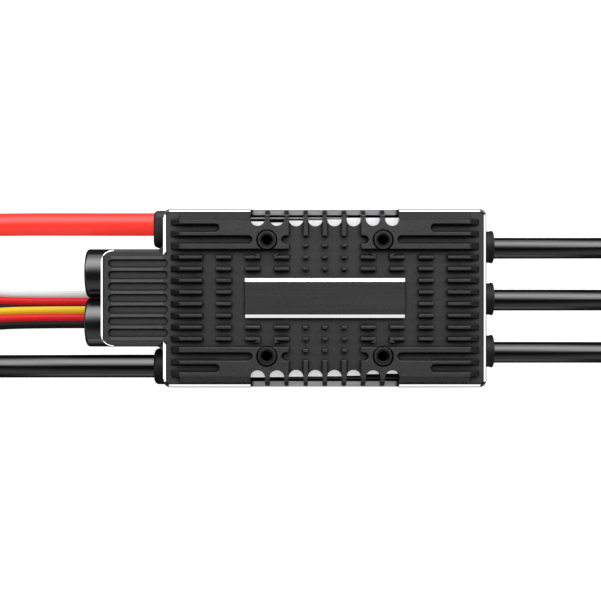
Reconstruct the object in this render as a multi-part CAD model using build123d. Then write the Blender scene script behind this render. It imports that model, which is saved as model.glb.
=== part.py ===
from build123d import *
import os
from math import radians, tan

# Electronic speed controller: a two-part finned aluminium case with a hood over two capacitors,
# two supply cables and two three-core leads at -X, and three phase cables at +X.
# Millimetres. Origin: middle of the case's bottom face, under the middle of the fan-screw square.

# ---- driving dimensions ---------------------------------------------------------------------
CASE_L, CASE_W = 81.2, 44.8          # case length along X, width along Y
CASE_R = 1.8                         # vertical corner radius
WALL = 1.4
Z_SPLIT = 13.0                       # joint between the two case halves, level with the cables
Z_DECK_LOW = 19.3                    # underside of the finned deck
Z_RIM = 22.3                         # rim and groove floors
Z_TOP = 24.5                         # tops of fins and corner plateaus
EDGE_CHAMFER = 0.75                  # bright-cut edge of the rim

FIELD_X0, FIELD_X1 = 38.65, 36.2     # half length of the raised field at rim level and at its top
FIELD_Y0, FIELD_Y1 = 21.2, 19.6      # half width of the same
FIN_PITCH = 2.916                    # rows of fins along Y, 14 rows
FIN_T, FIN_FOOT = 0.7, 1.42          # thickness of a fin at its top and at its foot
FIN_EDGE = 0.13                      # small chamfer on fin tops
FIN_A = 30.65                        # |x| where the end fins stop
FIN_B = (23.42, 27.14)
FIN_C = (16.2, 19.87)
FIN_D = (8.97, 12.63)
PIN_X, PIN_L = 4.85, 1.3             # three columns of short pins
PLATEAU_X, PLATEAU_Y = 8.97, 12.27   # inner edges of the corner plateaus
SLOT1_X, SLOT2_X = 26.35, 18.1       # |x| of the closed ends of the plateau grooves
POCKET_X = 10.85                     # |x| of the closed end of the short grooves

VENT_PITCH, VENT_W, VENTS = 4.8, 3.73, 8
VENT_Y = 18.0                        # |y| of the rounded inner ends of the vents
BAR_IN = 15.5                        # |y| where the three middle ribs end

FAN = 29.0                           # fan-screw square
FAN_HOLE_R = 1.25                    # M3 tapping size
INSERT_R = 2.5

HOOD_X, HOOD_Y, HOOD_R = 56.3, 12.05, 3.2
HOOD_EDGE = 1.0                      # bright-cut edge along the end of the hood
Z_HOOD = 18.6
RECESS_PITCH, RECESS_W, RECESS_D = 2.9, 2.07, 0.8
RECESS_X = (-54.4, -39.35)

CAP_R, CAP_L, CAP_X, CAP_Z = 6.25, 20.0, -60.8, 13.95
CAP_Y = (6.33, -6.2)

PLATE_X, PLATE_Y, PLATE_Z = 19.9, 4.92, 24.15
PLATE_EDGE = 0.8

SCREW_X, SCREW_Y = 30.0, 18.2        # case screws
SUPPLY_R = 2.95                      # supply cable jacket radius
PHASE_R = 2.7                        # phase cable jacket radius
CORE_R = 1.55
SUPPLY_Y = (18.95, -17.5)
PHASE_Y = (12.85, -0.5, -13.95)
LEAD_W, LEAD_T = 5.85, 1.9           # three-core flat lead

parts = {}


def bx(x0, x1, y0, y1, z0, z1):
    return Pos((x0 + x1) / 2, (y0 + y1) / 2, (z0 + z1) / 2) * Box(x1 - x0, y1 - y0, z1 - z0)


def cyl_z(x, y, z0, z1, r):
    return Pos(x, y, (z0 + z1) / 2) * Cylinder(r, z1 - z0)


def cyl_x(y, z, x0, x1, r):
    return Pos((x0 + x1) / 2, y, z) * Rot(0, 90, 0) * Cylinder(r, x1 - x0)


def prism_xz(points, y0, y1):
    """Closed polygon in X and Z, extruded from y0 to y1."""
    face = Face(Wire.make_polygon([Vector(x, y0, z) for x, z in points], close=True))
    return extrude(face, amount=y1 - y0, dir=(0, 1, 0))


def prism_yz(points, x0, x1):
    face = Face(Wire.make_polygon([Vector(x0, y, z) for y, z in points], close=True))
    return extrude(face, amount=x1 - x0, dir=(1, 0, 0))


def stadium(x0, x1, y, w, z0, z1):
    """Slot along X with round ends."""
    r = w / 2
    return (bx(x0 + r, x1 - r, y - r, y + r, z0, z1) + cyl_z(x0 + r, y, z0, z1, r) + cyl_z(x1 - r, y, z0, z1, r))


def soft_top(solid, size=FIN_EDGE):
    """Chamfers the edges of a piece's top face."""
    top = solid.faces().sort_by(Axis.Z)[-1]
    return chamfer(top.edges(), size)


def group(solids):
    return Compound(children=list(solids))


# ---- upper case -----------------------------------------------------------------------------
HX, HY = CASE_L / 2, CASE_W / 2
ROWS = [FIN_PITCH * (i - 6.5) for i in range(14)]


def round_block(hx, hy, r, z0, z1):
    return extrude(Plane.XY.offset(z0) * RectangleRounded(2 * hx, 2 * hy, r), amount=z1 - z0)


shell = round_block(HX, HY, CASE_R, Z_SPLIT, Z_RIM)
shell = chamfer(shell.faces().sort_by(Axis.Z)[-1].edges(), EDGE_CHAMFER)

hood = extrude(
    Plane.XY.offset(Z_HOOD) * Pos((-HOOD_X - HX + 3) / 2, 0) * RectangleRounded(HOOD_X - HX + 3 + 0.0, 2 * HOOD_Y, HOOD_R - 0.001),
    amount=Z_RIM - Z_HOOD,
)
hood = hood + bx(-HX - 3, -HX + 2, -HOOD_Y, HOOD_Y, Z_HOOD, Z_RIM)
# webs that round the inner corners between hood and case
WEB = 2.1
WEB_X = -HX - WEB
for s in (1, -1):
    web = bx(WEB_X, -HX + 0.5, min(s * (HOOD_Y - 0.5), s * (HOOD_Y + WEB)), max(s * (HOOD_Y - 0.5), s * (HOOD_Y + WEB)), Z_HOOD, Z_RIM - 0.85)
    web = web - cyl_z(WEB_X, s * (HOOD_Y + WEB), Z_HOOD - 1, Z_RIM + 1, WEB)
    hood = hood + web
left_edges = hood.faces().sort_by(Axis.Z)[-1].edges().filter_by(lambda e: e.center().X < -HOOD_X + 2.2)
hood = chamfer(left_edges, 0.38)
hood = hood - prism_xz([(-HOOD_X - 0.5, Z_RIM - HOOD_EDGE - 0.5), (-HOOD_X - 0.5, Z_RIM + 0.5), (-HOOD_X + HOOD_EDGE + 0.5, Z_RIM + 0.5)], -HOOD_Y - 1, HOOD_Y + 1)
upper = shell + hood
# the bright edge of the case runs a little way past the hood's sides
for s in (1, -1):
    y0, y1 = (HOOD_Y - 1.25, HY - CASE_R) if s > 0 else (-(HY - CASE_R), -(HOOD_Y - 1.25))
    step = prism_xz(
        [(-HX - WEB - 0.6, Z_RIM - EDGE_CHAMFER), (-HX, Z_RIM - EDGE_CHAMFER), (-HX + EDGE_CHAMFER + 0.4, Z_RIM + 0.4), (-HX - WEB - 0.6, Z_RIM + 0.4)],
        y0, y1,
    )
    # with an end at 45 degrees, in plan
    outline = [(-HX - 5, 12.05), (-HX - 1.3, 12.05), (-HX, 10.75), (-HX + 0.75, 11.75), (-HX + 1.5, 12.75), (-HX + 1.5, 9.5), (-HX - 5, 9.5)]
    keep = extrude(Face(Wire.make_polygon([Vector(x, s * y, Z_RIM - 2) for x, y in outline], close=True)), amount=3, dir=(0, 0, 1))
    upper = upper - (step - keep)

# hollow under the deck
inner = round_block(HX - WALL, HY - WALL, 1.0, Z_SPLIT - 1, Z_DECK_LOW)
for sx in (1, -1):
    for sy in (1, -1):
        inner = inner - cyl_z(sx * SCREW_X, sy * SCREW_Y, Z_SPLIT - 1, Z_DECK_LOW, 2.6)
upper = upper - inner

# raised field, cut into plateaus, fins, pins and ribs
field = prism_xz([(-FIELD_X0, Z_RIM), (FIELD_X0, Z_RIM), (FIELD_X1, Z_TOP), (-FIELD_X1, Z_TOP)], -FIELD_Y1, FIELD_Y1) + prism_yz(
    [(-FIELD_Y0, Z_RIM), (FIELD_Y0, Z_RIM), (FIELD_Y1, Z_TOP), (-FIELD_Y1, Z_TOP)], -FIELD_X1, FIELD_X1
)
gap = FIN_PITCH - 0.8
raised = []


def fin_block(x0, x1, y):
    """A fin along X with drafted sides and a small chamfer along its top."""
    foot, top = FIN_FOOT / 2, FIN_T / 2
    side = [(foot, Z_RIM - 0.3), (foot, Z_RIM), (top, Z_TOP - FIN_EDGE), (top - FIN_EDGE, Z_TOP)]
    return prism_yz([(y + d, z) for d, z in side] + [(y - d, z) for d, z in reversed(side)], min(x0, x1), max(x0, x1))


for sx in (1, -1):
    for sy in (1, -1):
        block = bx(min(sx * PLATEAU_X, sx * 40), max(sx * PLATEAU_X, sx * 40), min(sy * PLATEAU_Y, sy * 23), max(sy * PLATEAU_Y, sy * 23), Z_RIM - 0.3, Z_TOP + 1)
        plateau = field & block
        plateau = soft_top(plateau, 0.13)
        for row, end in ((12, SLOT1_X), (11, SLOT2_X), (11, None)):
            y = sy * (ROWS[row] + ROWS[row + 1]) / 2
            a, b = (end, 45) if end else (2, POCKET_X)
            mid, long = sx * (a + b) / 2, b - a
            plateau = plateau - extrude(Plane.XY.offset(Z_RIM) * Pos(mid, y) * SlotOverall(long, gap), amount=Z_TOP - Z_RIM + 1)
            plateau = plateau - extrude(Plane.XY.offset(Z_TOP - 0.13) * Pos(mid, y) * SlotOverall(long, gap), amount=0.4, taper=-45)
        raised.append(plateau)
        # the plateau's fingers have drafted sides too
        for row, start in ((13, SLOT1_X), (12, SLOT1_X), (11, SLOT2_X)):
            raised.append(field & fin_block(sx * (start + 0.6), sx * 40, sy * ROWS[row]))
for i, y in enumerate(ROWS):
    if 3 <= i <= 10:
        for sx in (1, -1):
            raised.append(field & fin_block(sx * FIN_A, sx * 40, y))
            raised.append(fin_block(sx * FIN_B[0], sx * FIN_B[1], y))
            if i in (3, 4, 9, 10):
                for a, b in (FIN_C, FIN_D):
                    fin = fin_block(sx * a, sx * b, y)
                    if i in (3, 10):
                        # the round pad of the fan screw thickens the near corner of these fins
                        sy = 1 if y > 0 else -1
                        pad = cyl_z(sx * FAN / 2, sy * FAN / 2, Z_RIM - 0.3, Z_TOP, 4.6) & bx(
                            min(sx * a, sx * b), max(sx * a, sx * b), min(y, y + sy * 0.85), max(y, y + sy * 0.85), Z_RIM - 0.3, Z_TOP
                        )
                        fin = fin + pad
                    raised.append(fin)
    if i in (2, 3, 4, 9, 10, 11):
        for x in (-PIN_X, 0, PIN_X):
            raised.append(soft_top(bx(x - PIN_L / 2, x + PIN_L / 2, y - FIN_T / 2, y + FIN_T / 2, Z_RIM - 0.3, Z_TOP)))
BAR_W = VENT_PITCH - VENT_W
for sy in (1, -1):
    for x in (-VENT_PITCH, 0, VENT_PITCH):
        w = 1.2 / 2
        raised.append(soft_top(bx(x - w, x + w, min(sy * BAR_IN, sy * 21.2), max(sy * BAR_IN, sy * 21.2), Z_RIM - 0.3, Z_TOP), 0.13))
# the ribs of the vents run out to the side of the case at full height, with a sloped end
rib_span = VENT_PITCH * VENTS / 2 - BAR_W / 2
for sy in (1, -1):
    strip = prism_yz([(sy * 19.0, 20.0), (sy * (HY - 0.35), 20.0), (sy * (HY - 0.35), Z_DECK_LOW + 1.4), (sy * (HY - 0.75), Z_RIM), (sy * 20.85, Z_TOP - 0.62), (sy * 20.25, Z_TOP), (sy * 19.0, Z_TOP)],
                     -rib_span, rib_span)
    raised.append(strip)
upper = upper + raised

# vents: through the deck and down the side wall to the level of the deck's underside
vents = []
for k in range(VENTS):
    x = VENT_PITCH * (k - (VENTS - 1) / 2)
    for sy in (1, -1):
        yc = sy * (VENT_Y + VENT_W / 2)
        vents.append(bx(x - VENT_W / 2, x + VENT_W / 2, min(yc, sy * 25), max(yc, sy * 25), Z_DECK_LOW, Z_TOP + 1))
        vents.append(cyl_z(x, yc, Z_DECK_LOW, Z_TOP + 1, VENT_W / 2))
upper = upper - vents
# the ribs between the vents stand back a little from the side
for sy in (1, -1):
    y0, y1 = (HY - 0.35, HY + 1) if sy > 0 else (-HY - 1, -HY + 0.35)
    upper = upper - bx(-rib_span, rib_span, y0, y1, Z_DECK_LOW, Z_TOP + 1)
    slope = prism_yz([(sy * (HY - 0.35), Z_DECK_LOW + 1.4), (sy * (HY - 0.75), Z_RIM), (sy * 20.85, Z_TOP - 0.62), (sy * 20.85, Z_TOP + 1), (sy * (HY + 1), Z_TOP + 1), (sy * (HY + 1), Z_DECK_LOW + 1.4)],
                     -rib_span, rib_span)
    upper = upper - slope

# recesses in the hood's top
recesses = [stadium(RECESS_X[0], RECESS_X[1], RECESS_PITCH * k, RECESS_W, Z_RIM - RECESS_D, Z_RIM + 1) for k in range(-3, 4)]
# room for the capacitors under the hood
recesses += [cyl_x(y, CAP_Z, -HOOD_X - 5, -HX - 0.02, CAP_R + 0.15) for y in CAP_Y]
# fan-screw inserts: press seats with a fine gap at their tops
for sx in (1, -1):
    for sy in (1, -1):
        recesses.append(cyl_z(sx * FAN / 2, sy * FAN / 2, Z_DECK_LOW + 0.4, Z_TOP + 1, INSERT_R))
        recesses.append(cyl_z(sx * FAN / 2, sy * FAN / 2, Z_TOP - 0.7, Z_TOP + 1, INSERT_R + 0.16))
# screw holes, cable openings and the opening for the capacitor leads
for sx in (1, -1):
    for sy in (1, -1):
        recesses.append(cyl_z(sx * SCREW_X, sy * SCREW_Y, Z_SPLIT - 1, 18.6, 1.25))
recesses += [cyl_x(y, Z_SPLIT, -HX - 3, -HX + WALL + 1.3, SUPPLY_R + 0.03) for y in SUPPLY_Y]
recesses += [cyl_x(y, Z_SPLIT, HX - WALL - 0.5, HX + 2, 3.5) for y in PHASE_Y]
recesses.append(bx(-HX - 1, -HX + WALL + 1, -10, 10, Z_SPLIT - 1, 15.6))
upper = upper - recesses
parts["upper_housing"] = upper

# ---- name plate, inserts --------------------------------------------------------------------
parts["name_plate"] = prism_yz(
    [(-PLATE_Y, Z_RIM), (PLATE_Y, Z_RIM), (PLATE_Y, PLATE_Z - 0.42), (PLATE_Y - PLATE_EDGE, PLATE_Z), (-PLATE_Y + PLATE_EDGE, PLATE_Z), (-PLATE_Y, PLATE_Z - 0.42)],
    -PLATE_X, PLATE_X,
)
inserts = []
for sx in (1, -1):
    for sy in (1, -1):
        x, y = sx * FAN / 2, sy * FAN / 2
        body = cyl_z(x, y, Z_DECK_LOW + 0.4, Z_TOP - 0.7, INSERT_R) + cyl_z(x, y, Z_TOP - 1.0, Z_TOP - 0.02, INSERT_R - 0.2)
        body = chamfer(body.faces().sort_by(Axis.Z)[-1].edges(), 0.12)
        body = body - cyl_z(x, y, Z_DECK_LOW + 0.9, Z_TOP + 1, FAN_HOLE_R)
        body = body - Pos(x, y, Z_TOP - 0.1) * Cone(FAN_HOLE_R, FAN_HOLE_R + 0.25, 0.25)
        body = body - bx(x - 3, x + 3, min(sy * 5, sy * (PLATEAU_Y + 0.02)), max(sy * 5, sy * (PLATEAU_Y + 0.02)), Z_RIM, Z_TOP + 1)
        inserts.append(body)
parts["fan_screw_inserts"] = group(inserts)

# ---- lower case -----------------------------------------------------------------------------
lower = round_block(HX, HY, CASE_R, 0, Z_SPLIT - 0.5)
lower = chamfer(lower.faces().sort_by(Axis.Z)[0].edges(), 0.6)
inner = round_block(HX - WALL, HY - WALL, 1.0, 1.8, Z_SPLIT + 1)
for sx in (1, -1):
    for sy in (1, -1):
        inner = inner - cyl_z(sx * SCREW_X, sy * SCREW_Y, 1.8, Z_SPLIT + 1, 2.6)
lower = lower - inner
cuts = [bx(-45, 45, -30, 30, Z_SPLIT - 0.5, Z_SPLIT + 5)]
for sx in (1, -1):
    for sy in (1, -1):
        cuts.append(cyl_z(sx * SCREW_X, sy * SCREW_Y, -1, Z_SPLIT + 1, 1.3))
        cuts.append(cyl_z(sx * SCREW_X, sy * SCREW_Y, -1, 1.7, 2.35))
cuts += [cyl_x(y, Z_SPLIT, -HX - 3, -HX + WALL + 1.3, SUPPLY_R + 0.03) for y in SUPPLY_Y]
cuts += [cyl_x(y, Z_SPLIT, HX - WALL - 0.5, HX + 2, 3.5) for y in PHASE_Y]
cuts.append(bx(-HX - 1, -HX + WALL + 1, -10, 10, 12.2, Z_SPLIT + 1))
cuts.append(bx(-HX - 1, -HX + WALL + 1, -8.6, 2.8, 1.9, 6.6))
# long cooling grooves in the sides
for z in (3.4, 6.1, 8.8):
    for sy in (1, -1):
        cuts.append(bx(-36, 36, min(sy * (HY - 0.45), sy * (HY + 1)), max(sy * (HY - 0.45), sy * (HY + 1)), z - 0.65, z + 0.65))
lower = lower - cuts
for sy in (1, -1):
    for sx in (1, -1):
        # standoff for the power board around each screw boss
        lower = lower + (cyl_z(sx * SCREW_X, sy * SCREW_Y, 1.75, 9.8, 3.4) - cyl_z(sx * SCREW_X, sy * SCREW_Y, 1.0, 12, 1.3) - bx(-60, 60, min(sy * (HY - 0.7), sy * 30), max(sy * (HY - 0.7), sy * 30), 0, 20))
parts["lower_housing"] = lower

seal = round_block(HX - 0.35, HY - 0.35, CASE_R - 0.35, Z_SPLIT - 0.5, Z_SPLIT) - round_block(HX - WALL + 0.05, HY - WALL + 0.05, 1.0, Z_SPLIT - 1, Z_SPLIT + 1)
for y in SUPPLY_Y:
    seal = seal - cyl_x(y, Z_SPLIT, -HX - 3, -HX + 3, SUPPLY_R + 0.03)
for y in PHASE_Y:
    seal = seal - cyl_x(y, Z_SPLIT, HX - 3, HX + 3, 3.5)
seal = seal - bx(-HX - 1, -HX + 3, -10, 10, 10, 15)
parts["case_gasket"] = group(seal.solids())

screws = []
for sx in (1, -1):
    for sy in (1, -1):
        x, y = sx * SCREW_X, sy * SCREW_Y
        s = cyl_z(x, y, 0.15, 1.7, 2.2) + cyl_z(x, y, 1.5, 18.2, 1.22)
        s = s - extrude(Plane.XY.offset(-0.5) * Pos(x, y) * RegularPolygon(1.15, 6), amount=1.7)
        screws.append(s)
parts["case_screws"] = group(screws)

# ---- heat path ------------------------------------------------------------------------------
spreader = round_block(38.6, 20.42, 1.0, 17.3, Z_DECK_LOW) + bx(-27, 27, -16, 16, 13.5, 17.5)
grooves = []
# a groove along each side, wider at some of the vents, and the top's outer edge beyond it
GROOVE_IN = {1: (19.4, 19.1, 19.6, 19.73, 19.9, None, None, None), -1: (20.0, 19.95, 19.85, 19.8, 19.75, 19.6, 19.2, 19.1)}
for sy in (1, -1):
    for k, inner_y in enumerate(GROOVE_IN[sy]):
        x0 = VENT_PITCH * (k - VENTS / 2)
        y0, y1 = (inner_y, 20.02) if inner_y else (20.3, 20.6)
        if inner_y and inner_y > 19.9:
            y1 = 20.6
        grooves.append(bx(x0, x0 + VENT_PITCH, min(sy * y0, sy * y1), max(sy * y0, sy * y1), Z_DECK_LOW - 1.7, Z_DECK_LOW + 1))
for sx in (1, -1):
    for sy2 in (1, -1):
        grooves.append(cyl_z(sx * SCREW_X, sy2 * SCREW_Y, 12, 21, 2.85))
parts["heat_spreader"] = spreader - grooves
parts["thermal_pad"] = bx(-27, 27, -16, 16, 12.5, 13.5)

board = bx(-37.6, 37.6, -20.2, 20.2, 9.8, 11.4)
for sx in (1, -1):
    for sy in (1, -1):
        board = board - cyl_z(sx * SCREW_X, sy * SCREW_Y, 9, 12, 2.7)
parts["power_board"] = board
parts["mosfets"] = group([soft_top(bx(x - 2.45, x + 2.45, y - 2.95, y + 2.95, 11.4, 12.5), 0.15) for x in (-24, -14.4, -4.8, 4.8, 14.4, 24) for y in (-12, -4, 4, 12)])
parts["supply_terminals"] = group([bx(-37.4, -33, y - 1.95, y + 1.95, 11.4, 14.9) - cyl_x(y, Z_SPLIT, -39, -31, CORE_R + 0.02) for y in SUPPLY_Y])
parts["phase_terminals"] = group([bx(33, 37.4, y - 2.3, y + 2.3, 11.4, 14.9) - cyl_x(y, Z_SPLIT, 31, 39, CORE_R + 0.02) for y in PHASE_Y])
parts["cable_cores"] = group([cyl_x(y, Z_SPLIT, -38.4, -33.4, CORE_R) for y in SUPPLY_Y] + [cyl_x(y, Z_SPLIT, 33.4, 38.4, CORE_R) for y in PHASE_Y])
parts["bus_bars"] = group([bx(-34, 24, y - 1.8, y + 1.8, 8.4, 9.8) for y in (-13.0, 13.0)])
parts["current_shunt"] = bx(-30.5, -24.1, -1.6, 1.6, 8.9, 9.8)
parts["ceramic_capacitors"] = group([bx(x - 1.6, x + 1.6, y - 0.8, y + 0.8, 8.2, 9.8) for x in (-16, -10, -4, 2, 8, 14) for y in (-8, 8)])

ctrl = bx(-24, 24, -14, 14, 4.4, 5.6)
parts["control_board"] = ctrl
parts["microcontroller"] = soft_top(bx(-11.5, -4.5, -3.5, 3.5, 5.6, 6.6), 0.12)
parts["gate_drivers"] = group([soft_top(bx(x - 2, x + 2, -10.5, -6.5, 5.6, 6.5), 0.12) for x in (-2, 6, 14)])
parts["regulator_inductor"] = fillet(bx(8, 14, 2, 8, 5.6, 8.1).edges().filter_by(Axis.Z), 0.8)
parts["regulator_chip"] = soft_top(bx(1, 5, 3, 7, 5.6, 6.7), 0.12)
parts["board_standoffs"] = group([cyl_z(x, y, 1.8, 4.4, 1.6) for x in (-22, 22) for y in (-12, 12)])
header = bx(16.5, 23.5, -2.54 * 2, 2.54 * 2, 5.6, 8.1)
pins = []
for ix in range(2):
    for iy in range(4):
        x, y = 18.73 + 2.54 * ix, -3.81 + 2.54 * iy
        header = header - bx(x - 0.32, x + 0.32, y - 0.32, y + 0.32, 5, 9)
        pins.append(bx(x - 0.32, x + 0.32, y - 0.32, y + 0.32, 5.6, 9.8))
parts["board_header"] = header
parts["header_pins"] = group(pins)

# ---- capacitors -----------------------------------------------------------------------------
sleeves, cans, bungs, cap_leads = [], [], [], []
for y in CAP_Y:
    outer = cyl_x(y, CAP_Z, CAP_X, CAP_X + CAP_L, CAP_R)
    outer = fillet(outer.edges().filter_by(GeomType.CIRCLE).sort_by(Axis.X)[0], 0.8)
    can = cyl_x(y, CAP_Z, CAP_X + 0.15, CAP_X + CAP_L - 1.2, CAP_R - 0.15)
    can = fillet(can.edges().filter_by(GeomType.CIRCLE).sort_by(Axis.X)[0], 0.7)
    mouth = cyl_x(y, CAP_Z, CAP_X - 1, CAP_X + 1.0, CAP_R - 1.15)
    sleeves.append(outer - can - mouth - cyl_x(y, CAP_Z, CAP_X + CAP_L - 1.25, CAP_X + CAP_L + 1, CAP_R - 1.0))
    vent = Pos(CAP_X + 0.05, y, CAP_Z) * Box(0.5, 7.5, 0.5) + Pos(CAP_X + 0.05, y, CAP_Z) * Box(0.5, 0.5, 7.5)
    cans.append(can - vent - cyl_x(y, CAP_Z, CAP_X + CAP_L - 4.2, CAP_X + CAP_L, CAP_R - 0.5))
    bung = cyl_x(y, CAP_Z, CAP_X + CAP_L - 4.2, CAP_X + CAP_L - 1.2, CAP_R - 0.5)
    for d in (-2.5, 2.5):
        bung = bung - cyl_x(y + d, CAP_Z, CAP_X + CAP_L - 3.0, CAP_X + CAP_L, 0.4)
        lead = cyl_x(y + d, CAP_Z, CAP_X + CAP_L - 3.0, -36.5, 0.4) + cyl_z(-36.5, y + d, 11.4, CAP_Z, 0.4) + Pos(-36.5, y + d, CAP_Z) * Sphere(0.4)
        cap_leads.append(lead)
    bungs.append(bung)
parts["capacitor_sleeves"] = group(sleeves)
parts["capacitor_cans"] = group(cans)
parts["capacitor_bungs"] = group(bungs)
parts["capacitor_leads"] = group(cap_leads)
seal = bx(-HX, -HX + WALL, -10, 10, 12.2, 15.6)
for y in CAP_Y:
    for d in (-2.5, 2.5):
        seal = seal - cyl_x(y + d, CAP_Z, -45, -35, 0.42)
parts["capacitor_lead_seal"] = seal

# ---- cable boots, grommets and seals --------------------------------------------------------
def boot(y0, y1, y_cable, corner):
    b = extrude(Plane((-HX, 0, 0), x_dir=(0, 1, 0), z_dir=(-1, 0, 0)) * Pos((y0 + y1) / 2, -Z_SPLIT) * RectangleRounded(y1 - y0, 9.4, corner), amount=2.95)
    if b.center().Z < 0:
        b = extrude(Plane((-HX, 0, 0), x_dir=(0, 1, 0), z_dir=(-1, 0, 0)) * Pos((y0 + y1) / 2, Z_SPLIT) * RectangleRounded(y1 - y0, 9.4, corner), amount=2.95)
    b = fillet(b.faces().sort_by(Axis.X)[0].edges(), 1.2)
    return b - cyl_x(y_cable, Z_SPLIT, -HX - 5, -HX + 1, SUPPLY_R + 0.03)


parts["positive_cable_boot"] = boot(12.85, 22.35, SUPPLY_Y[0], 2.0)
parts["negative_cable_boot"] = boot(-22.15, -12.9, SUPPLY_Y[1], 4.2)
grommets = []
for y in PHASE_Y:
    # the collar outside sits a little off the cable's centre
    g = cyl_x(y + 0.3, Z_SPLIT, HX, HX + 2.2, 4.05) + cyl_x(y + 0.3, Z_SPLIT, HX + 2.1, HX + 2.75, 4.2) + cyl_x(y, Z_SPLIT, HX - WALL - 0.1, HX + 0.1, 3.5) + cyl_x(y, Z_SPLIT, HX - WALL - 1.2, HX - WALL, 4.2)
    g = fillet(g.faces().sort_by(Axis.X)[-1].edges(), 0.3)
    grommets.append(g - cyl_x(y, Z_SPLIT, 30, 50, PHASE_R + 0.03))
parts["phase_cable_grommets"] = group(grommets)

LEAD_Y = (-0.84, -5.0)
LEAD_Z = (3.2, 5.2)
g = bx(-HX - 1.0, -HX, -9.6, 3.8, 1.0, 7.3) + bx(-HX - 0.5, -HX + WALL, -8.6, 2.8, 1.9, 6.6)
g = fillet(g.faces().sort_by(Axis.X)[0].edges(), 0.5)
for y, z in zip(LEAD_Y, LEAD_Z):
    g = g - bx(-50, -35, y - LEAD_W / 2 - 0.03, y + LEAD_W / 2 + 0.03, z - LEAD_T / 2 - 0.03, z + LEAD_T / 2 + 0.03)
parts["signal_lead_seal"] = g


# ---- cables ---------------------------------------------------------------------------------
def route_path(points, name):
    pts = [Vector(*p) for p in points]
    runs = [(b - a).length for a, b in zip(pts, pts[1:])]
    radii = []
    for i in range(1, len(pts) - 1):
        turn = (pts[i] - pts[i - 1]).get_angle(pts[i + 1] - pts[i])
        radii.append(0.45 * min(runs[i - 1], runs[i]) / tan(radians(turn) / 2))
    print(name, "runs", [round(r, 1) for r in runs], "radii", [round(r, 1) for r in radii])
    return FilletPolyline(*pts, radius=radii), pts


def round_cable(points, r, name):
    path, pts = route_path(points, name)
    section = Plane(origin=pts[0], z_dir=pts[1] - pts[0]) * Circle(r)
    tube = sweep(section, path=path)
    length = path.length
    print(name, "length", round(length, 1), "volume ratio", round(tube.volume / (3.14159265 * r * r * length), 4))
    return tube


def flat_lead(points, name):
    path, pts = route_path(points, name)
    section = Plane(origin=pts[0], x_dir=(0, 1, 0), z_dir=pts[1] - pts[0]) * Rectangle(LEAD_W, LEAD_T)
    tube = sweep(section, path=path)
    length = path.length
    print(name, "length", round(length, 1), "volume ratio", round(tube.volume / (LEAD_W * LEAD_T * length), 4))
    return tube


ROUTE_POSITIVE = [(-38.4, 18.95, 13.0), (-58.0, 18.95, 13.0), (-80.0, 19.1, 11.4), (-103.0, 18.9, 6.4), (-128.0, 18.2, 3.3), (-156.0, 17.9, 3.05), (-183.0, 18.1, 3.05)]
ROUTE_NEGATIVE = [(-38.4, -17.5, 13.0), (-57.0, -17.5, 13.0), (-79.0, -17.65, 11.2), (-101.0, -17.9, 6.2), (-127.0, -18.2, 3.25), (-155.0, -18.5, 3.05), (-182.0, -18.3, 3.05)]
ROUTE_PHASES = [
    [(38.4, 12.85, 13.0), (54.0, 12.85, 13.0), (73.0, 12.95, 10.8), (92.0, 13.3, 5.9), (113.0, 13.5, 3.1), (134.0, 13.3, 2.8)],
    [(38.4, -0.5, 13.0), (55.0, -0.5, 13.0), (74.0, -0.5, 10.7), (93.0, -0.6, 5.8), (114.0, -0.4, 3.1), (135.0, -0.2, 2.8)],
    [(38.4, -13.95, 13.0), (54.5, -13.95, 13.0), (73.5, -14.05, 10.8), (92.5, -14.4, 5.8), (113.5, -14.7, 3.1), (134.5, -14.5, 2.8)],
]
ROUTE_THROTTLE = [(-38.4, -0.84, 3.2), (-49.5, -0.84, 3.2), (-62.5, -0.84, 1.75), (-75.5, -0.8, 1.05), (-86.5, -0.65, 1.02), (-95.5, 0.55, 1.02), (-103.6, 0.95, 1.02)]
ROUTE_PROGRAM = [(-38.4, -5.0, 5.2), (-49.5, -5.0, 5.2), (-62.5, -5.02, 3.9), (-75.5, -5.1, 3.05), (-86.5, -5.35, 3.05), (-95.5, -6.6, 2.75), (-103.6, -6.9, 1.15)]

parts["positive_cable"] = round_cable(ROUTE_POSITIVE, SUPPLY_R, "positive")
parts["negative_cable"] = round_cable(ROUTE_NEGATIVE, SUPPLY_R, "negative")
for k, (name, route) in enumerate(zip("abc", ROUTE_PHASES)):
    parts["phase_cable_" + name] = round_cable(route, PHASE_R, "phase " + name)
parts["throttle_lead"] = flat_lead(ROUTE_THROTTLE, "throttle")
parts["program_lead"] = flat_lead(ROUTE_PROGRAM, "program")


def tinned_end(points, r, length):
    a, b = Vector(*points[-2]), Vector(*points[-1])
    plane = Plane(origin=b, z_dir=b - a)
    tip = extrude(plane * Circle(r), amount=length)
    return fillet(tip.edges().filter_by(GeomType.CIRCLE).sort_by(Axis.X)[0 if b.X < 0 else -1], 0.35)


parts["positive_tinned_end"] = tinned_end(ROUTE_POSITIVE, 1.75, 7)
parts["negative_tinned_end"] = tinned_end(ROUTE_NEGATIVE, 1.75, 7)
for name, route in zip("abc", ROUTE_PHASES):
    parts["phase_%s_tinned_end" % name] = tinned_end(route, 1.75, 6)

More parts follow.
